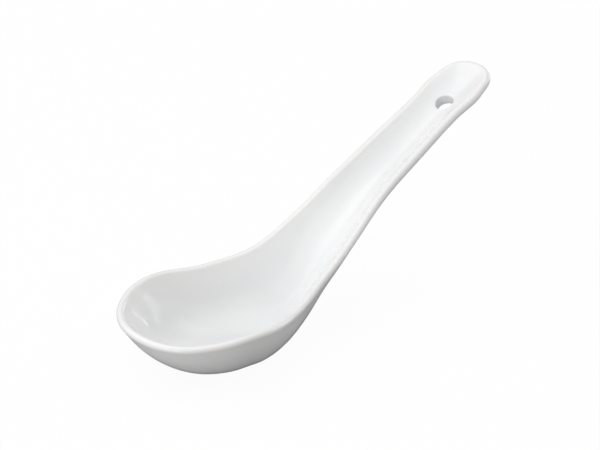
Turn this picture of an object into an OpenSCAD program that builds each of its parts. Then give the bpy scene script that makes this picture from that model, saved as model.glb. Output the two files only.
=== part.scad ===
// Chinese soup spoon in glazed white porcelain, shaped and fired in one piece.
// A deep flat-bottomed bowl runs on, through an open throat, into a hollow
// handle that climbs to a rounded end with a hanging hole. It stands on a
// ground oval foot under the bowl.
// X runs from the tip of the bowl to the end of the handle and Z is up. The
// table is z = 0, and the origin is under the middle of the length.

/* [Bowl] */
// Length of the bowl along the table, from the rim of its tip to the throat
bowl_length = 66; // [63:1:72]
// Width of the bowl over the rim, where it is widest
bowl_width = 45.5; // [42:0.1:49]
// Radius of the tip, seen from above
tip_radius = 24.5; // [21:0.1:26]
// Height of the rim's middle at the tip
tip_height = 16.1; // [14:0.1:20]
// Height of the rim's middle where the bowl is widest
side_height = 17; // [15:0.1:20]
// Height of the rim's middle where it dips behind that
dip_height = 15; // [13:0.1:18]
// Thickness of the rim round the bowl
rim_t = 2.2; // [1.6:0.1:2.8]
// Thickness of the floor over the ground foot
floor_t = 4.2; // [3:0.1:5]
// How squarely the wall meets the floor at the tip: 2 is round, more is squarer
bowl_fullness = 3.6; // [2.6:0.1:4]
// How squarely the wall meets the floor at the back of the bowl
back_fullness = 4.6; // [3.6:0.1:5.4]

/* [Throat] */
// Width of the throat over the rim, where the bowl ends
throat_width = 25.3; // [23.5:0.1:27]
// Rise of the rim above the floor in the throat
throat_depth = 9.4; // [8.5:0.1:12]
// How squarely the wall meets the floor in the throat
throat_fullness = 1.7; // [1.5:0.1:2.4]

/* [Handle] */
// Length of the handle along the table, from the throat to the rim of its end
handle_length = 66; // [60:1:80]
// Height of the handle's end floor above the bowl's floor
handle_climb = 50.4; // [44:0.1:57]
// Width over the rim a quarter of the way up the handle
neck_width = 20.8; // [19.6:0.1:22.5]
// Width over the rim half-way up the handle
grip_width = 18.9; // [18:0.1:20.4]
// Width over the rim at the waist, where the handle is narrowest
waist_width = 17.7; // [16.2:0.1:18.2]
// Width over the rim of the rounded end
end_width = 18.3; // [17.8:0.1:20]
// Radius of the end, seen from above
end_radius = 10.7; // [9.5:0.1:12]
// Rise of the rim above the floor a quarter of the way up the handle
neck_depth = 6.6; // [5.6:0.1:8]
// Rise of the rim above the floor half-way up the handle
grip_depth = 5; // [3.8:0.1:6]
// Rise of the rim above the floor at the hanging hole
hole_depth = 3.2; // [2.4:0.1:4.4]
// Rise of the rim above the floor at the very end
end_depth = 1.6; // [1:0.1:3]
// Thickness of the rim along the handle
handle_rim_t = 2.8; // [2.4:0.1:3.4]
// Thickness of the floor along the handle
handle_floor_t = 3.4; // [3:0.1:4.2]
// How squarely the wall meets the floor in the handle
handle_fullness = 2.5; // [2.1:0.1:3]

/* [Foot] */
// Length of level floor, from the rim of the tip
level_length = 50.5; // [48:0.5:53]
// Length of the foot behind that, to its heel
heel_length = 5; // [3.5:0.5:8]
// How steeply the sides of the foot rise from the table, as rise over run
foot_steepness = 1.8; // [1.4:0.1:2.4]
// How softly the foot runs into the underside
foot_blend = 0.6; // [0.4:0.1:1.2]
// Depth ground off the underside to make the flat foot
foot_grind = 0.8; // [0.6:0.05:1]
// Width of the bare ring that the spoon stands on
foot_land = 2.4; // [1.8:0.1:3]
// Depth of the hollow
foot_hollow = 0.5; // [0.3:0.05:0.8]

/* [Hanging hole] */
// Diameter of the hole
hole_d = 5.4; // [4.5:0.1:6]
// Distance from the rim of the handle's end to the middle of the hole
hole_setback = 12.8; // [10:0.2:14]
// Lean of the hole from upright, towards the tip
hole_lean = 22; // [15:1:35]

/* [Hidden] */

// Steps along each side of the rim, across each wall and round the rim's edge
side_steps = 72;
wall_steps = 9;
edge_steps = 6;
foot_steps = 48;
hole_steps = 48;

rim_length = bowl_length + handle_length;
overrun = 2 * handle_rim_t;

// The middle of each wall's thickness carries the shape. Each table below has
// rows of a place along the spoon and a size there.

// Change from 0 to 1 between a share of the bowl's length and one of the
// handle's. The rim and the floor each ease so from their thickness in the bowl
// to that in the handle.
rim_ease = [0.7, 0.7];
floor_ease = [0.45, 0];
function eased(x, shares) =
    let (
        from = shares[0] * bowl_length,
        to = handle_x(shares[1])
    )
    smooth((x - from) / (to - from));
function edge_t(x) = mix(rim_t, handle_rim_t, eased(x, rim_ease));
function skin_t(x) = mix(floor_t + foot_grind, handle_floor_t, eased(x, floor_ease));
function wall_t(x, part) = mix(skin_t(x), edge_t(x), part ^ 2);

// Outline of the rim: squares of half widths, to the middle of its thickness
widest_share = 0.38;
tip_fill_shares = [0.16, 0.852];
flank_shares = [0.6, 0.853];
shoulder_shares = [0.8, 0.655];
neck_share = 0.24;
grip_share = 0.5;
waist_share = 0.74;
end_share = 0.88;
function handle_x(share) = bowl_length + share * handle_length;
function half(width, x) = (width - edge_t(x)) / 2;
function row(x, width) = [x, half(width, x) ^ 2];
outline = [
    [0, 0],
    row(tip_fill_shares[0] * bowl_length, tip_fill_shares[1] * bowl_width),
    row(widest_share * bowl_length, bowl_width),
    row(flank_shares[0] * bowl_length, flank_shares[1] * bowl_width),
    row(shoulder_shares[0] * bowl_length, shoulder_shares[1] * bowl_width),
    row(bowl_length, throat_width),
    row(handle_x(neck_share), neck_width),
    row(handle_x(grip_share), grip_width),
    row(handle_x(waist_share), waist_width),
    row(handle_x(end_share), end_width),
    [rim_length, 0],
];
function half_width(x) = sqrt(max(curve(outline, x, 2 * tip_radius, -2 * end_radius), 0));

// Line of the floor: level in the bowl, a bend at the throat, then a climb that
// eases off towards the end. The skin sinks below the table by what is ground
// off the foot.
floor_z = (floor_t - foot_grind) / 2;
heel_shares = [0.7, 0.108];
throat_climb_shares = [0.12, 0.339];
neck_climb_shares = [0.32, 0.529];
grip_climb_shares = [0.56, 0.692];
function climb_row(x, share) = [x, floor_z + share * handle_climb];
climb = [
    [level_length, floor_z],
    climb_row(mix(level_length, bowl_length, heel_shares[0]), heel_shares[1]),
    climb_row(handle_x(throat_climb_shares[0]), throat_climb_shares[1]),
    climb_row(handle_x(neck_climb_shares[0]), neck_climb_shares[1]),
    climb_row(handle_x(grip_climb_shares[0]), grip_climb_shares[1]),
    climb_row(rim_length, 1),
];
function floor_height(x) = x < level_length ? floor_z : curve(climb, x, 0);

// Line of the rim, and its rise above the floor
side_share = 0.3;
dip_share = 0.6;
turn_shares = [0.84, 0.267];
throat_share = 0.05;
hole_x = rim_length - hole_setback;
function over_floor(x, depth) = [x, floor_height(x) + depth];
throat_rim = over_floor(handle_x(throat_share), throat_depth);
rim_line = [
    [0, tip_height],
    [side_share * bowl_length, side_height],
    [dip_share * bowl_length, dip_height],
    [turn_shares[0] * bowl_length, mix(dip_height, throat_rim[1], turn_shares[1])],
    throat_rim,
    over_floor(handle_x(neck_share), neck_depth),
    over_floor(handle_x(grip_share), grip_depth),
    over_floor(hole_x, hole_depth),
    over_floor(rim_length, end_depth),
];
function rim_rise(x) = curve(rim_line, x) - floor_height(x);

// How squarely each section turns from floor to wall. It eases from the tip's to
// that at the back of the bowl, then to the throat's, then to the handle's.
back_ease = [0.3, -0.42];
throat_ease = [0.5, -0.08];
handle_ease = [0.98, 0.24];
function fullness(x) =
    let (
        bowl = mix(bowl_fullness, back_fullness, eased(x, back_ease)),
        throat = mix(bowl, throat_fullness, eased(x, throat_ease))
    )
    mix(throat, handle_fullness, eased(x, handle_ease));

// Middle lines that the walls of the bowl's tip and of the handle's end close in on
bowl_centre_share = 0.5;
end_centre_share = 0.9;
bowl_centre = bowl_centre_share * bowl_length;
end_centre = rim_length - end_centre_share * end_radius;

// Ground foot: the part of the wall at which the underside leaves the table,
// for the section at x, closed in on by halves
foot_search = 12;
function underside(x, part) = floor_height(x) + rim_rise(x) * part ^ fullness(x) - wall_t(x, part) / 2;
function foot_part(x, low = 0, high = 1, turns = foot_search) =
    let (middle = (low + high) / 2)
    turns == 0 ? middle
    : underside(x, middle) < 0 ? foot_part(x, middle, high, turns - 1)
    : foot_part(x, low, middle, turns - 1);

// Oval that the spoon stands on, from where the level floor's underside first
// meets the table back to the heel
foot_front = bowl_centre * (1 - foot_part(0));
foot_back = level_length + heel_length;
foot_middle = (foot_front + foot_back) / 2;
foot_x = (foot_back - foot_front) / 2;
foot_y = half_width(bowl_centre) * foot_part(bowl_centre);

// Porcelain added under the floor, so that the foot is flat over all that oval
// and its sides rise evenly from it
function foot_surface(p) =
    let (
        at = [p.x - foot_middle, p.y],
        away = norm([at.x / foot_x, at.y / foot_y])
    )
    foot_steepness * (away > 1 ? norm(at) * (1 - 1 / away) : 0) - foot_grind;
function foot_fill(p) = let (over = p.z - foot_surface(p)) (over + norm([over, foot_blend])) / 2;

function mix(a, b, part) = a + (b - a) * part;
function smooth(t) = let (c = min(max(t, 0), 1)) c * c * (3 - 2 * c);
function unit(v) = v / norm(v);

// Smooth curve through the rows of a table, with a set slope at either end
function gap(table, i) = table[i + 1][0] - table[i][0];
function rate(table, i) = (table[i + 1][1] - table[i][1]) / gap(table, i);
function slope(table, i, first, last) =
    i == 0 ? (is_undef(first) ? rate(table, 0) : first)
    : i == len(table) - 1 ? (is_undef(last) ? rate(table, i - 1) : last)
    : (rate(table, i - 1) * gap(table, i) + rate(table, i) * gap(table, i - 1))
        / (gap(table, i - 1) + gap(table, i));
function span_at(table, x, i = 0) =
    i >= len(table) - 2 || x < table[i + 1][0] ? i : span_at(table, x, i + 1);
function curve(table, x, first, last) =
    let (
        i = span_at(table, x),
        g = gap(table, i),
        t = (x - table[i][0]) / g
    )
    (2 * t ^ 3 - 3 * t ^ 2 + 1) * table[i][1]
    + (t ^ 3 - 2 * t ^ 2 + t) * g * slope(table, i, first, last)
    + (3 * t ^ 2 - 2 * t ^ 3) * table[i + 1][1]
    + (t ^ 3 - t ^ 2) * g * slope(table, i + 1, first, last);

// The shape is a sheaf of closed rings, from near the middle line of the floor
// (part 0) out to the rim (part 1). Each ring runs up one side and down the other.
ring_steps = 2 * side_steps;
innermost_share = 0.08;
part_of_wall = [for (k = [0:wall_steps]) mix(innermost_share, 1, sin(90 * k / wall_steps))];
stations = [for (i = [0:ring_steps - 1])
    let (
        angle = 180 * i / side_steps,
        side = angle < 180 ? 1 : -1,
        x = rim_length * (1 - cos(angle)) / 2
    )
    [x, side * half_width(x), rim_rise(x), fullness(x), min(max(x, bowl_centre), end_centre)]
];
function mid_point(s, part) =
    let (x = mix(s[4], s[0], part))
    [x, s[1] * part, floor_height(x) + s[2] * part ^ s[3]];
mid = [for (part = part_of_wall) [for (s = stations) mid_point(s, part)]];

function along(k, i) = mid[k][(i + 1) % ring_steps] - mid[k][(i + ring_steps - 1) % ring_steps];
function outward(k, i) = mid[min(k + 1, wall_steps)][i] - mid[max(k - 1, 0)][i];
function normal(k, i) = unit(cross(along(k, i), outward(k, i)));
function thickness(k, i) = wall_t(mid[k][i].x, part_of_wall[k]);

inner = [for (k = [0:wall_steps]) [for (i = [0:ring_steps - 1])
    mid[k][i] + normal(k, i) * thickness(k, i) / 2]];
outer = [for (k = [wall_steps:-1:0]) [for (i = [0:ring_steps - 1])
    let (p = mid[k][i] - normal(k, i) * thickness(k, i) / 2)
    [p.x, p.y, p.z - foot_fill(p)]]];
edge = [for (j = [1:edge_steps - 1]) [for (i = [0:ring_steps - 1])
    let (
        up = normal(wall_steps, i),
        out = cross(up, unit(along(wall_steps, i))),
        turn = 180 * j / edge_steps
    )
    mid[wall_steps][i] + thickness(wall_steps, i) / 2 * (cos(turn) * up + sin(turn) * out)]];
rings = concat(inner, edge, outer);

// Two triangles between neighbours on two rings, mirrored from side to side
function patch(k, i) =
    let (
        a = k * ring_steps + i,
        b = k * ring_steps + (i + 1) % ring_steps,
        c = b + ring_steps,
        d = a + ring_steps
    )
    i < side_steps ? [[a, c, b], [a, d, c]] : [[a, d, b], [b, d, c]];
// Rungs that close the narrow innermost ring across the middle line
function rungs(first) = [for (i = [0:side_steps - 1])
    let (
        a = first + i,
        b = first + i + 1,
        c = first + (ring_steps - i - 1) % ring_steps,
        d = first + (ring_steps - i) % ring_steps
    )
    each i == 0 ? [[a, c, b]] : i == side_steps - 1 ? [[a, d, b]] : [[a, d, c], [a, c, b]]];
function turned(faces) = [for (f = faces) [f[0], f[2], f[1]]];

module glazed_shell() {
    last = len(rings) - 1;
    polyhedron(
        points = [for (ring = rings) each ring],
        faces = concat(
            [for (k = [0:last - 1]) for (i = [0:ring_steps - 1]) each patch(k, i)],
            turned(rungs(0)),
            rungs(last * ring_steps)
        )
    );
}

// All that is ground away below the table
module foot_grinding() {
    translate([-overrun, -bowl_width, -overrun])
        cube([rim_length + 2 * overrun, 2 * bowl_width, overrun]);
}

// Shallow oval inside the ring that stands on the table
module foot_hollow_cut() {
    translate([foot_middle, 0, -overrun])
        linear_extrude(overrun + foot_hollow)
            polygon([for (i = [0:foot_steps - 1])
                let (angle = 360 * i / foot_steps)
                [(foot_x - foot_land) * cos(angle), (foot_y - foot_land) * sin(angle)]]);
}

module hanging_hole_cut() {
    translate([hole_x, 0, floor_height(hole_x)])
        rotate([0, -hole_lean, 0])
            cylinder(h = 2 * overrun, d = hole_d, center = true, $fn = hole_steps);
}

module spoon() {
    color([0.95, 0.95, 0.94])
        translate([-rim_length / 2, 0, 0])
            difference() {
                glazed_shell();
                foot_grinding();
                foot_hollow_cut();
                hanging_hole_cut();
            }
}

spoon();
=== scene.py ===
# Chinese soup spoon in glazed white porcelain, on a pale studio floor.
# The shape repeats the part's own sizes, in millimetres, on a finer mesh, with a
# rounder section in the handle, and adds what firing and glazing give: a bare
# ground foot and a rounded hole.
import math

import bmesh
import bpy
from mathutils import Matrix, Vector
from mathutils.bvhtree import BVHTree


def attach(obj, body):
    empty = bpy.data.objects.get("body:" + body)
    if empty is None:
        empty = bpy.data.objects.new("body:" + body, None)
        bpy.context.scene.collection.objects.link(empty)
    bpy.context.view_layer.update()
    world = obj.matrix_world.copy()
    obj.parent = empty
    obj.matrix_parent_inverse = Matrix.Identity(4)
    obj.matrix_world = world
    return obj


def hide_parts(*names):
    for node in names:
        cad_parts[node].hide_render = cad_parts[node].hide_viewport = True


MM = 0.001

# Sizes of the bowl, the throat and the handle, as in the part but for the
# handle's fullness
BOWL_LENGTH = 66
BOWL_WIDTH = 45.5
TIP_RADIUS = 24.5
TIP_HEIGHT = 16.1
SIDE_HEIGHT = 17
DIP_HEIGHT = 15
RIM_T = 2.2
FLOOR_T = 4.2
BOWL_FULLNESS = 3.6
BACK_FULLNESS = 4.6
THROAT_WIDTH = 25.3
THROAT_DEPTH = 9.4
THROAT_FULLNESS = 1.7
HANDLE_LENGTH = 66
HANDLE_CLIMB = 50.4
NECK_WIDTH = 20.8
GRIP_WIDTH = 18.9
WAIST_WIDTH = 17.7
END_WIDTH = 18.3
END_RADIUS = 10.7
NECK_DEPTH = 6.6
GRIP_DEPTH = 5
HOLE_DEPTH = 3.2
END_DEPTH = 1.6
HANDLE_RIM_T = 2.8
HANDLE_FLOOR_T = 3.4
HANDLE_FULLNESS = 2.25
LEVEL_LENGTH = 50.5
HEEL_LENGTH = 5
FOOT_STEEPNESS = 1.8
FOOT_BLEND = 0.6
FOOT_GRIND = 0.8
FOOT_LAND = 2.4
FOOT_HOLLOW = 0.5
HOLE_R = 2.7
HOLE_SETBACK = 12.8
HOLE_LEAN = math.radians(22)

# Steps of the visual mesh, and of the search for the foot's edge
SIDE_STEPS = 220
WALL_STEPS = 30
EDGE_STEPS = 20
HOLE_STEPS = 96
SEARCH_STEPS = 20

# How much closer together the wall's rings stand towards the rim
RIM_CROWDING = 1.25

# Share of the way up the wall from which its thickness levels off
RIM_LEVEL = 0.9

# Distance at which two vertices are one, in metres
MERGED = 1e-7

RIM_LENGTH = BOWL_LENGTH + HANDLE_LENGTH
HOLE_X = RIM_LENGTH - HOLE_SETBACK


def mix(a, b, part):
    return a + (b - a) * part


def smooth(t):
    t = min(max(t, 0), 1)
    return t * t * (3 - 2 * t)


def curve(table, x, first=None, last=None):
    """A smooth curve through the rows of a table, with a set slope at either end."""
    gaps = [b[0] - a[0] for a, b in zip(table, table[1:])]
    rates = [(b[1] - a[1]) / gap for a, b, gap in zip(table, table[1:], gaps)]
    i = 0
    while i < len(table) - 2 and x >= table[i + 1][0]:
        i += 1

    def slope(j):
        if j == 0:
            return rates[0] if first is None else first
        if j == len(rates):
            return rates[-1] if last is None else last
        return (rates[j - 1] * gaps[j] + rates[j] * gaps[j - 1]) / (gaps[j - 1] + gaps[j])

    t = (x - table[i][0]) / gaps[i]
    return (
        (2 * t**3 - 3 * t**2 + 1) * table[i][1]
        + (t**3 - 2 * t**2 + t) * gaps[i] * slope(i)
        + (3 * t**2 - 2 * t**3) * table[i + 1][1]
        + (t**3 - t**2) * gaps[i] * slope(i + 1)
    )


def handle_x(share):
    return BOWL_LENGTH + share * HANDLE_LENGTH


def eased(x, bowl_share, handle_share):
    """From 0 to 1, between a share of the bowl's length and one of the handle's."""
    start = bowl_share * BOWL_LENGTH
    return smooth((x - start) / (handle_x(handle_share) - start))


# Thickness of the wall, at its edge and in its skin
def edge_t(x):
    return mix(RIM_T, HANDLE_RIM_T, eased(x, 0.7, 0.7))


def skin_t(x):
    return mix(FLOOR_T + FOOT_GRIND, HANDLE_FLOOR_T, eased(x, 0.45, 0))


def wall_t(x, part):
    """Levels off towards the rim, where the glaze leaves no crease."""
    levelled = smooth((part - RIM_LEVEL) / (1 - RIM_LEVEL))
    return mix(skin_t(x), edge_t(x), mix(part**2, 1, levelled))


# Outline of the rim, as squares of half widths
def row(x, width):
    return (x, ((width - edge_t(x)) / 2) ** 2)


OUTLINE = [
    (0, 0),
    row(0.16 * BOWL_LENGTH, 0.852 * BOWL_WIDTH),
    row(0.38 * BOWL_LENGTH, BOWL_WIDTH),
    row(0.6 * BOWL_LENGTH, 0.853 * BOWL_WIDTH),
    row(0.8 * BOWL_LENGTH, 0.655 * BOWL_WIDTH),
    row(BOWL_LENGTH, THROAT_WIDTH),
    row(handle_x(0.24), NECK_WIDTH),
    row(handle_x(0.5), GRIP_WIDTH),
    row(handle_x(0.74), WAIST_WIDTH),
    row(handle_x(0.88), END_WIDTH),
    (RIM_LENGTH, 0),
]


def half_width(x):
    return math.sqrt(max(curve(OUTLINE, x, 2 * TIP_RADIUS, -2 * END_RADIUS), 0))


# Line of the floor and line of the rim
FLOOR_Z = (FLOOR_T - FOOT_GRIND) / 2
CLIMB = [
    (x, FLOOR_Z + share * HANDLE_CLIMB)
    for x, share in (
        (LEVEL_LENGTH, 0),
        (mix(LEVEL_LENGTH, BOWL_LENGTH, 0.7), 0.108),
        (handle_x(0.12), 0.339),
        (handle_x(0.32), 0.529),
        (handle_x(0.56), 0.692),
        (RIM_LENGTH, 1),
    )
]


def floor_height(x):
    return FLOOR_Z if x < LEVEL_LENGTH else curve(CLIMB, x, 0)


def over_floor(x, depth):
    return (x, floor_height(x) + depth)


THROAT_RIM = over_floor(handle_x(0.05), THROAT_DEPTH)
RIM_LINE = [
    (0, TIP_HEIGHT),
    (0.3 * BOWL_LENGTH, SIDE_HEIGHT),
    (0.6 * BOWL_LENGTH, DIP_HEIGHT),
    (0.84 * BOWL_LENGTH, mix(DIP_HEIGHT, THROAT_RIM[1], 0.267)),
    THROAT_RIM,
    over_floor(handle_x(0.24), NECK_DEPTH),
    over_floor(handle_x(0.5), GRIP_DEPTH),
    over_floor(HOLE_X, HOLE_DEPTH),
    over_floor(RIM_LENGTH, END_DEPTH),
]


def rim_rise(x):
    return curve(RIM_LINE, x) - floor_height(x)


def fullness(x):
    """How squarely the section at x turns from floor to wall."""
    bowl = mix(BOWL_FULLNESS, BACK_FULLNESS, eased(x, 0.3, -0.42))
    throat = mix(bowl, THROAT_FULLNESS, eased(x, 0.5, -0.08))
    return mix(throat, HANDLE_FULLNESS, eased(x, 0.98, 0.24))


def foot_part(x):
    """The part of the wall at which the underside leaves the table."""
    low, high = 0, 1
    for _ in range(SEARCH_STEPS):
        part = (low + high) / 2
        under = floor_height(x) + rim_rise(x) * part ** fullness(x) - wall_t(x, part) / 2
        low, high = (part, high) if under < 0 else (low, part)
    return low


BOWL_CENTRE = 0.5 * BOWL_LENGTH
END_CENTRE = RIM_LENGTH - 0.9 * END_RADIUS

# Oval foot, and the porcelain added under the floor to fill it out
FOOT_FRONT = BOWL_CENTRE * (1 - foot_part(0))
FOOT_BACK = LEVEL_LENGTH + HEEL_LENGTH
FOOT_MIDDLE = (FOOT_FRONT + FOOT_BACK) / 2
FOOT_X = (FOOT_BACK - FOOT_FRONT) / 2
FOOT_Y = half_width(BOWL_CENTRE) * foot_part(BOWL_CENTRE)


def foot_surface(point):
    x, y = point.x - FOOT_MIDDLE, point.y
    away = math.hypot(x / FOOT_X, y / FOOT_Y)
    reach = math.hypot(x, y) * (1 - 1 / away) if away > 1 else 0
    return FOOT_STEEPNESS * reach - FOOT_GRIND


def foot_fill(point):
    over = point.z - foot_surface(point)
    return (over + math.hypot(over, FOOT_BLEND)) / 2


def stations():
    """Places round the rim, up one side and down the other, with what holds there."""
    made = []
    for i in range(2 * SIDE_STEPS):
        angle = math.pi * i / SIDE_STEPS
        x = RIM_LENGTH * (1 - math.cos(angle)) / 2
        side = 1 if i < SIDE_STEPS else -1
        centre = min(max(x, BOWL_CENTRE), END_CENTRE)
        made.append((x, side * half_width(x), rim_rise(x), fullness(x), centre))
    return made


def mid_point(station, part):
    x, width, rise, full, centre = station
    along = mix(centre, x, part)
    return Vector((along, width * part, floor_height(along) + rise * part**full))


def floor_normal(x):
    step = 0.01
    return Vector((floor_height(x - step) - floor_height(x + step), 0, 2 * step)).normalized()


def wall_rings():
    """The rings of the inner face, the rim's round edge and the outer face, and how
    far up the wall each lies."""
    parts = [1 - (1 - k / WALL_STEPS) ** RIM_CROWDING for k in range(WALL_STEPS + 1)]
    places = stations()
    count = len(places)
    middle = [[mid_point(s, part) for s in places] for part in parts]

    def along(k, i):
        return middle[k][(i + 1) % count] - middle[k][i - 1]

    def normal(k, i):
        if k == 0:
            return floor_normal(middle[0][i].x)
        outward = middle[min(k + 1, WALL_STEPS)][i] - middle[k - 1][i]
        return along(k, i).cross(outward).normalized()

    normals = [[normal(k, i) for i in range(count)] for k in range(WALL_STEPS + 1)]

    def offset(k, side):
        ring = []
        for point, up in zip(middle[k], normals[k]):
            at = point + side * wall_t(point.x, parts[k]) / 2 * up
            if side < 0:
                at.z -= foot_fill(at)
            ring.append(at)
        return ring

    def lip(turn):
        ring = []
        for i, (point, up) in enumerate(zip(middle[-1], normals[-1])):
            out = up.cross(along(WALL_STEPS, i).normalized())
            half = edge_t(point.x) / 2
            ring.append(point + half * (math.cos(turn) * up + math.sin(turn) * out))
        return ring

    inner = [offset(k, 1) for k in range(WALL_STEPS + 1)]
    edge = [lip(math.pi * j / EDGE_STEPS) for j in range(1, EDGE_STEPS)]
    outer = [offset(k, -1) for k in range(WALL_STEPS, -1, -1)]
    heights = parts + [1] * len(edge) + parts[::-1]
    return inner + edge + outer, heights


def ring_edges(bm, ring):
    """The edges of a closed ring of vertices, in the ring's order."""
    return [bm.edges.get(pair) for pair in zip(ring, ring[1:] + ring[:1])]


def extrude_ring(bm, ring):
    """Extrudes a closed ring of vertices, and gives the new ring in the same order."""
    made = bmesh.ops.extrude_edge_only(bm, edges=ring_edges(bm, ring))["geom"]
    new = {v for v in made if isinstance(v, bmesh.types.BMVert)}
    return [next(e.other_vert(v) for e in v.link_edges if e.other_vert(v) in new) for v in ring]


def loft(bm, rings):
    """A tube through rings of points, from a circle that is extruded ring by ring."""
    ring = bmesh.ops.create_circle(bm, segments=len(rings[0]), radius=1)["verts"]
    made = []
    for k, points in enumerate(rings):
        if k:
            ring = extrude_ring(bm, ring)
        for vertex, point in zip(ring, points):
            vertex.co = point
        made.append(ring)
    return made


def glazed_shell(bm):
    """The whole wall, closed along the middle of the floor."""
    rings, heights = wall_rings()
    height = bm.verts.layers.float.new("wall_height")
    middle = Vector((RIM_LENGTH / 2 * MM, 0, 0))
    made = loft(bm, [[point * MM - middle for point in ring] for ring in rings])
    for ring, share in zip(made, heights):
        for vertex in ring:
            vertex[height] = share
    bmesh.ops.remove_doubles(bm, verts=bm.verts, dist=MERGED)
    bmesh.ops.recalc_face_normals(bm, faces=bm.faces)


def open_edges(bm):
    return [e for e in bm.edges if e.is_boundary]


# Foot ring: bare, flat and soft at its outer edge, round a shallow glazed oval
FOOT_ROUND = 0.35
FOOT_SOFT_STEPS = 4
FOOT_SPOKES = 180

# Inset and height of each ring, from the bare land in to the hollow's full depth
HOLLOW_STEPS = ((0, 0), (0.12, 0.04), (0.3, 0.2), (0.55, 0.38), (0.95, 0.48), (1.8, FOOT_HOLLOW))


def ground_foot(bm):
    """Cuts the underside just above the table, and closes it with a softened edge, the
    bare ring and the hollow inside that."""
    middle = Vector((FOOT_MIDDLE - RIM_LENGTH / 2, 0, 0)) * MM
    bmesh.ops.bisect_plane(
        bm,
        geom=bm.verts[:] + bm.edges[:] + bm.faces[:],
        dist=MERGED,
        plane_co=(0, 0, FOOT_ROUND * MM),
        plane_no=(0, 0, 1),
        clear_inner=True,
    )
    cut = open_edges(bm)
    rim = sorted(
        (math.atan2(v.co.y, v.co.x - middle.x), math.hypot(v.co.x - middle.x, v.co.y) / MM)
        for v in {v for e in cut for v in e.verts}
    )
    first, last = rim[0], rim[-1]
    rim = [(last[0] - math.tau, last[1]), *rim, (first[0] + math.tau, first[1])]

    def spot(turn, away, height):
        return middle + Vector((away * math.cos(turn), away * math.sin(turn), height)) * MM

    def contour(turn):
        after = next(i for i, (at, _) in enumerate(rim) if at > turn)
        (a, low), (b, high) = rim[after - 1], rim[after]
        return mix(low, high, (turn - a) / (b - a))

    turns = [math.pi * (2 * i / FOOT_SPOKES - 1) for i in range(FOOT_SPOKES)]
    rings = []
    for j in range(1, FOOT_SOFT_STEPS + 1):
        lean = math.pi / 2 * j / FOOT_SOFT_STEPS
        inset = FOOT_ROUND * (1 - math.cos(lean))
        height = FOOT_ROUND * (1 - math.sin(lean))
        rings.append([spot(turn, contour(turn) - inset, height) for turn in turns])
    for inset, height in HOLLOW_STEPS:
        length, width = FOOT_X - FOOT_LAND - inset, FOOT_Y - FOOT_LAND - inset
        ring = []
        for turn in turns:
            away = 1 / math.hypot(math.cos(turn) / length, math.sin(turn) / width)
            ring.append(spot(turn, away, height))
        rings.append(ring)
    made = loft(bm, rings)
    bmesh.ops.bridge_loops(bm, edges=cut + ring_edges(bm, made[0]))
    land_outside, land_inside = made[FOOT_SOFT_STEPS - 1], set(made[FOOT_SOFT_STEPS])
    for edge in ring_edges(bm, land_outside):
        for face in edge.link_faces:
            if land_inside.intersection(face.verts):
                face.material_index = 1
    bmesh.ops.contextual_create(bm, geom=made[-1])


# Hanging hole: the glaze rounds both its edges. The skin is taken away a little past
# the collar, and only where it faces along the hole.
HOLE_ROUND = 0.35
HOLE_COLLAR = 0.5
HOLE_CLEARANCE = 0.15
LEAST_FACING = 0.4
ROUND_STEPS = 7
BORE_STEPS = 4

# Height up the wall that the glaze of the hole is like
HOLE_HEIGHT = 0.3


def hanging_hole(bm):
    """Takes the skin away round the hole and puts a collar there, which runs in from
    each face over a rounded edge and through the wall."""
    up = Vector((-math.sin(HOLE_LEAN), 0, math.cos(HOLE_LEAN)))
    across = Vector((0, 1, 0))
    ahead = across.cross(up)
    middle = Vector((HOLE_X - RIM_LENGTH / 2, 0, floor_height(HOLE_X))) * MM
    skin = BVHTree.FromBMesh(bm)
    far = 3 * HANDLE_RIM_T * MM

    def ring(radius, side, depth):
        points = []
        for i in range(HOLE_STEPS):
            turn = math.tau * (i + 0.5) / HOLE_STEPS
            spot = middle + radius * MM * (math.cos(turn) * ahead + math.sin(turn) * across)
            hit = skin.ray_cast(spot + side * far * up, -side * up)[0]
            points.append(hit - side * depth * MM * up)
        return points

    def rounded(side):
        made = [ring(HOLE_R + HOLE_ROUND + HOLE_COLLAR * share, side, 0) for share in (1, 0.5)]
        for j in range(ROUND_STEPS + 1):
            lean = math.pi / 2 * j / ROUND_STEPS
            radius = HOLE_R + HOLE_ROUND * (1 - math.sin(lean))
            made.append(ring(radius, side, HOLE_ROUND * (1 - math.cos(lean))))
        return made

    top = rounded(1)
    under = rounded(-1)[::-1]
    bore = [
        [a.lerp(b, j / BORE_STEPS) for a, b in zip(top[-1], under[0])]
        for j in range(1, BORE_STEPS)
    ]

    def away(point):
        flat = point - middle
        return (flat - flat.dot(up) * up).length

    reach = (HOLE_R + HOLE_ROUND + HOLE_COLLAR + HOLE_CLEARANCE) * MM
    for side in (1, -1):
        skins = [
            f
            for f in bm.faces
            if side * f.normal.dot(up) > LEAST_FACING
            and (f.calc_center_median() - middle).length < far
            and min(away(v.co) for v in f.verts) < reach
        ]
        bmesh.ops.delete(bm, geom=skins, context="FACES")
    rims = set(open_edges(bm))
    made = loft(bm, top + bore + under)
    height = bm.verts.layers.float["wall_height"]
    for loop in made:
        for vertex in loop:
            vertex[height] = HOLE_HEIGHT
    for side, loop in ((1, made[0]), (-1, made[-1])):
        mouth = [e for e in rims if e.is_valid and side * (e.verts[0].co - middle).dot(up) > 0]
        bmesh.ops.bridge_loops(bm, edges=mouth + ring_edges(bm, loop))


def new_material(name):
    made = bpy.data.materials.new(name)
    made.use_nodes = True
    nodes = made.node_tree.nodes
    nodes.clear()
    shader = nodes.new("ShaderNodeBsdfPrincipled")
    output = nodes.new("ShaderNodeOutputMaterial")
    made.node_tree.links.new(shader.outputs["BSDF"], output.inputs["Surface"])
    return made, shader


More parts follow.
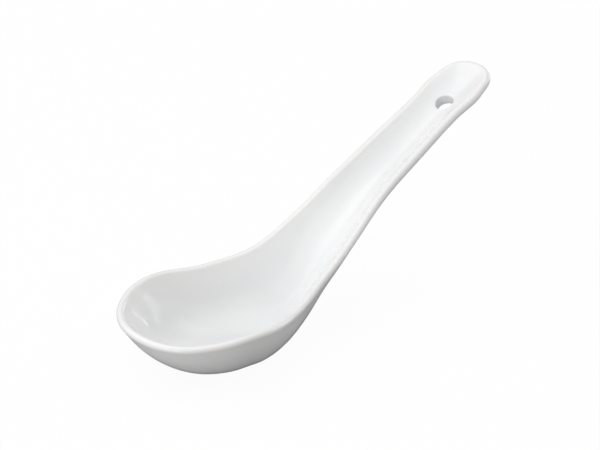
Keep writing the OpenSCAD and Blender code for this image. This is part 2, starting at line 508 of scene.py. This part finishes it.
def unevenness_group():
    """Slow drift and fine grain of a fired surface, for glaze and bare clay."""
    group = bpy.data.node_groups.new("fired_unevenness", "ShaderNodeTree")
    for name, way, kind in (
        ("Place", "INPUT", "NodeSocketVector"),
        ("Drift size", "INPUT", "NodeSocketFloat"),
        ("Grain size", "INPUT", "NodeSocketFloat"),
        ("Drift", "OUTPUT", "NodeSocketFloat"),
        ("Grain", "OUTPUT", "NodeSocketFloat"),
    ):
        group.interface.new_socket(name, in_out=way, socket_type=kind)
    nodes, links = group.nodes, group.links
    given = nodes.new("NodeGroupInput")
    gives = nodes.new("NodeGroupOutput")
    for name, size, detail in (("Drift", "Drift size", 2), ("Grain", "Grain size", 4)):
        noise = nodes.new("ShaderNodeTexNoise")
        noise.inputs["Detail"].default_value = detail
        noise.inputs["Roughness"].default_value = 0.5
        links.new(given.outputs["Place"], noise.inputs["Vector"])
        links.new(given.outputs[size], noise.inputs["Scale"])
        links.new(noise.outputs["Fac"], gives.inputs[name])
    return group


def place_group(made, group, sizes):
    nodes, links = made.node_tree.nodes, made.node_tree.links
    place = nodes.new("ShaderNodeTexCoord")
    node = nodes.new("ShaderNodeGroup")
    node.node_tree = group
    for name, size in sizes.items():
        node.inputs[name].default_value = size
    links.new(place.outputs["Object"], node.inputs["Place"])
    return node


# Values that the noise mostly runs between
NOISE_ENDS = (0.3, 0.7)


def two_tone(made, factor, low, high, ends=NOISE_ENDS):
    """A colour that runs between two with a factor."""
    nodes, links = made.node_tree.nodes, made.node_tree.links
    ramp = nodes.new("ShaderNodeValToRGB")
    ramp.color_ramp.interpolation = "EASE"
    for stop, at, colour in zip(ramp.color_ramp.elements, ends, (low, high)):
        stop.position = at
        stop.color = (*colour, 1)
    links.new(factor, ramp.inputs["Fac"])
    return ramp.outputs["Color"]


def ranged(made, factor, low, high):
    """A value that runs between two with the noise."""
    nodes, links = made.node_tree.nodes, made.node_tree.links
    node = nodes.new("ShaderNodeMapRange")
    node.inputs["From Min"].default_value = NOISE_ENDS[0]
    node.inputs["From Max"].default_value = NOISE_ENDS[1]
    node.inputs["To Min"].default_value = low
    node.inputs["To Max"].default_value = high
    links.new(factor, node.inputs["Value"])
    return node.outputs["Result"]


def bumped(made, shader, height, strength, distance):
    nodes, links = made.node_tree.nodes, made.node_tree.links
    bump = nodes.new("ShaderNodeBump")
    bump.inputs["Strength"].default_value = strength
    bump.inputs["Distance"].default_value = distance
    links.new(height, bump.inputs["Height"])
    links.new(bump.outputs["Normal"], shader.inputs["Normal"])


# Glaze: the two tones that it drifts between, and the warmer one where it runs thin,
# from a share of the way up the wall to the rim
GLAZE_GREY = (0.835, 0.84, 0.848)
GLAZE_WHITE = (0.855, 0.858, 0.86)
GLAZE_THIN = (0.87, 0.868, 0.862)
THIN_FROM = 0.8


def porcelain_glaze(group):
    made, shader = new_material("porcelain_glaze")
    nodes, links = made.node_tree.nodes, made.node_tree.links
    fired = place_group(made, group, {"Drift size": 45})
    shader.inputs["IOR"].default_value = 1.5
    shader.inputs["Subsurface Weight"].default_value = 0.12
    shader.inputs["Subsurface Radius"].default_value = (0.002, 0.0018, 0.0016)
    shader.inputs["Subsurface Scale"].default_value = 1
    tone = two_tone(made, fired.outputs["Drift"], GLAZE_GREY, GLAZE_WHITE)
    wall = nodes.new("ShaderNodeAttribute")
    wall.attribute_name = "wall_height"
    thin = two_tone(made, wall.outputs["Fac"], (0, 0, 0), (1, 1, 1), (THIN_FROM, 1))
    blend = nodes.new("ShaderNodeMix")
    blend.data_type = "RGBA"
    links.new(thin, blend.inputs["Factor"])
    links.new(tone, blend.inputs["A"])
    blend.inputs["B"].default_value = (*GLAZE_THIN, 1)
    links.new(blend.outputs["Result"], shader.inputs["Base Color"])
    links.new(ranged(made, fired.outputs["Drift"], 0.07, 0.12), shader.inputs["Roughness"])
    bumped(made, shader, fired.outputs["Drift"], 0.25, 0.0004)
    return made


CLAY_DARK = (0.71, 0.69, 0.65)
CLAY_PALE = (0.77, 0.755, 0.72)


def bare_clay(group):
    made, shader = new_material("bare_clay")
    fired = place_group(made, group, {"Drift size": 120, "Grain size": 2600})
    links = made.node_tree.links
    tone = two_tone(made, fired.outputs["Drift"], CLAY_DARK, CLAY_PALE)
    links.new(tone, shader.inputs["Base Color"])
    links.new(ranged(made, fired.outputs["Grain"], 0.62, 0.8), shader.inputs["Roughness"])
    bumped(made, shader, fired.outputs["Grain"], 0.5, 0.00012)
    return made


def make_spoon():
    bm = bmesh.new()
    glazed_shell(bm)
    hanging_hole(bm)
    ground_foot(bm)
    bmesh.ops.remove_doubles(bm, verts=bm.verts, dist=MERGED)
    bmesh.ops.recalc_face_normals(bm, faces=bm.faces)
    for face in bm.faces:
        face.smooth = face.material_index == 0
    mesh = bpy.data.meshes.new("soup_spoon")
    bm.to_mesh(mesh)
    bm.free()
    group = unevenness_group()
    mesh.materials.append(porcelain_glaze(group))
    mesh.materials.append(bare_clay(group))
    made = bpy.data.objects.new("soup_spoon", mesh)
    bpy.context.scene.collection.objects.link(made)
    return made


# Studio: target and reach of the camera, and the photograph's frame
TARGET = Vector((0, 0, 0.018))
CAMERA_AZIMUTH = math.radians(-44.587)
CAMERA_ELEVATION = math.radians(28.74)
CAMERA_DISTANCE = 0.6
SENSOR = 36
FRAME_WIDTH = 600
SCALE_AT_TARGET = 3.513
SHIFT_PIXELS = (16.75, 23.93)


def direction(azimuth, elevation):
    """From the object towards that azimuth and elevation."""
    return Vector(
        (
            math.sin(azimuth) * math.cos(elevation),
            -math.cos(azimuth) * math.cos(elevation),
            math.sin(elevation),
        )
    )


def make_camera():
    back = direction(CAMERA_AZIMUTH, CAMERA_ELEVATION)
    data = bpy.data.cameras.new("camera")
    data.sensor_width = SENSOR
    data.lens = SCALE_AT_TARGET * CAMERA_DISTANCE / MM * SENSOR / FRAME_WIDTH
    data.shift_x = -SHIFT_PIXELS[0] / FRAME_WIDTH
    data.shift_y = SHIFT_PIXELS[1] / FRAME_WIDTH
    camera = bpy.data.objects.new("camera", data)
    camera.location = TARGET + back * CAMERA_DISTANCE
    camera.rotation_mode = "QUATERNION"
    camera.rotation_quaternion = back.to_track_quat("Z", "Y")
    bpy.context.scene.collection.objects.link(camera)
    bpy.context.scene.camera = camera


# Each softbox: azimuth, elevation, distance, width, height and radiance
SOFTBOXES = {
    "overhead": (180, 88, 1.2, 2.4, 2.4, 0.64),
    "rear": (225, 42, 1.2, 1.4, 1.1, 0.79),
    "left": (280, 9, 1.0, 0.7, 0.45, 3.0),
    "window": (71, 19, 1.0, 0.58, 0.3, 1.45),
    "low_window": (88, 6, 1.0, 0.8, 0.24, 2.4),
}
WORLD_LIGHT = 0.435


def make_lights():
    for name, (azimuth, elevation, distance, width, height, radiance) in SOFTBOXES.items():
        back = direction(math.radians(azimuth), math.radians(elevation))
        data = bpy.data.lights.new(name, "AREA")
        data.shape = "RECTANGLE"
        data.size = width
        data.size_y = height
        data.energy = radiance * math.pi * width * height
        lamp = bpy.data.objects.new(name, data)
        lamp.location = TARGET + back * distance
        lamp.rotation_mode = "QUATERNION"
        lamp.rotation_quaternion = back.to_track_quat("Z", "Y")
        bpy.context.scene.collection.objects.link(lamp)


def seen_by_camera(nodes):
    """1 for what the camera sees directly, and 0 for light and reflections."""
    return nodes.new("ShaderNodeLightPath").outputs["Is Camera Ray"]


def make_world():
    world = bpy.data.worlds.new("studio")
    bpy.context.scene.world = world
    world.use_nodes = True
    nodes, links = world.node_tree.nodes, world.node_tree.links
    nodes.clear()
    light = nodes.new("ShaderNodeBackground")
    light.inputs["Strength"].default_value = WORLD_LIGHT
    white = nodes.new("ShaderNodeBackground")
    blend = nodes.new("ShaderNodeMixShader")
    output = nodes.new("ShaderNodeOutputWorld")
    for background in (light, white):
        background.inputs["Color"].default_value = (1, 1, 1, 1)
    links.new(seen_by_camera(nodes), blend.inputs["Fac"])
    links.new(light.outputs["Background"], blend.inputs[1])
    links.new(white.outputs["Background"], blend.inputs[2])
    links.new(blend.outputs["Shader"], output.inputs["Surface"])


# Floor: its side, its level and its share of plain white to the camera, and the colour
# that the camera sees and the one that the light meets
FLOOR_SIDE = 6
FLOOR_LEVEL = -0.2 * MM
FLOOR_WHITE = 0.95
FLOOR_SEEN = (0.9, 0.9, 0.9, 1)
FLOOR_BOUNCE = (0.4, 0.4, 0.4, 1)


def make_floor():
    """White to the camera, and greyer to the light that it sends back up."""
    bm = bmesh.new()
    level = Matrix.Translation((0, 0, FLOOR_LEVEL))
    bmesh.ops.create_grid(bm, x_segments=1, y_segments=1, size=FLOOR_SIDE / 2, matrix=level)
    mesh = bpy.data.meshes.new("floor")
    bm.to_mesh(mesh)
    bm.free()
    floor = bpy.data.objects.new("floor", mesh)
    bpy.context.scene.collection.objects.link(floor)
    made = bpy.data.materials.new("floor_white")
    made.use_nodes = True
    nodes, links = made.node_tree.nodes, made.node_tree.links
    nodes.clear()
    paint = nodes.new("ShaderNodeBsdfDiffuse")
    tone = nodes.new("ShaderNodeMix")
    tone.data_type = "RGBA"
    tone.inputs["A"].default_value = FLOOR_BOUNCE
    tone.inputs["B"].default_value = FLOOR_SEEN
    glow = nodes.new("ShaderNodeEmission")
    share = nodes.new("ShaderNodeMath")
    share.operation = "MULTIPLY"
    share.inputs[1].default_value = FLOOR_WHITE
    blend = nodes.new("ShaderNodeMixShader")
    output = nodes.new("ShaderNodeOutputMaterial")
    seen = seen_by_camera(nodes)
    links.new(seen, tone.inputs["Factor"])
    links.new(tone.outputs["Result"], paint.inputs["Color"])
    links.new(seen, share.inputs[0])
    links.new(share.outputs["Value"], blend.inputs["Fac"])
    links.new(paint.outputs["BSDF"], blend.inputs[1])
    links.new(glow.outputs["Emission"], blend.inputs[2])
    links.new(blend.outputs["Shader"], output.inputs["Surface"])
    mesh.materials.append(made)


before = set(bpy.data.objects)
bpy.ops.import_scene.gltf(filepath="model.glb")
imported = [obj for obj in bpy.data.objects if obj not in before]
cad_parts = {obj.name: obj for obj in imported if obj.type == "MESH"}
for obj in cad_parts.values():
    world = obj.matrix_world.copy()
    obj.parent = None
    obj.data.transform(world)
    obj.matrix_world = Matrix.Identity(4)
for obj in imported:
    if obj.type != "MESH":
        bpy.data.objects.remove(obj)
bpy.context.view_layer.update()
spoon = make_spoon()
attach(spoon, "root")
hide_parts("spoon")
make_camera()
make_lights()
make_world()
make_floor()
bpy.context.scene.view_settings.view_transform = "Standard"
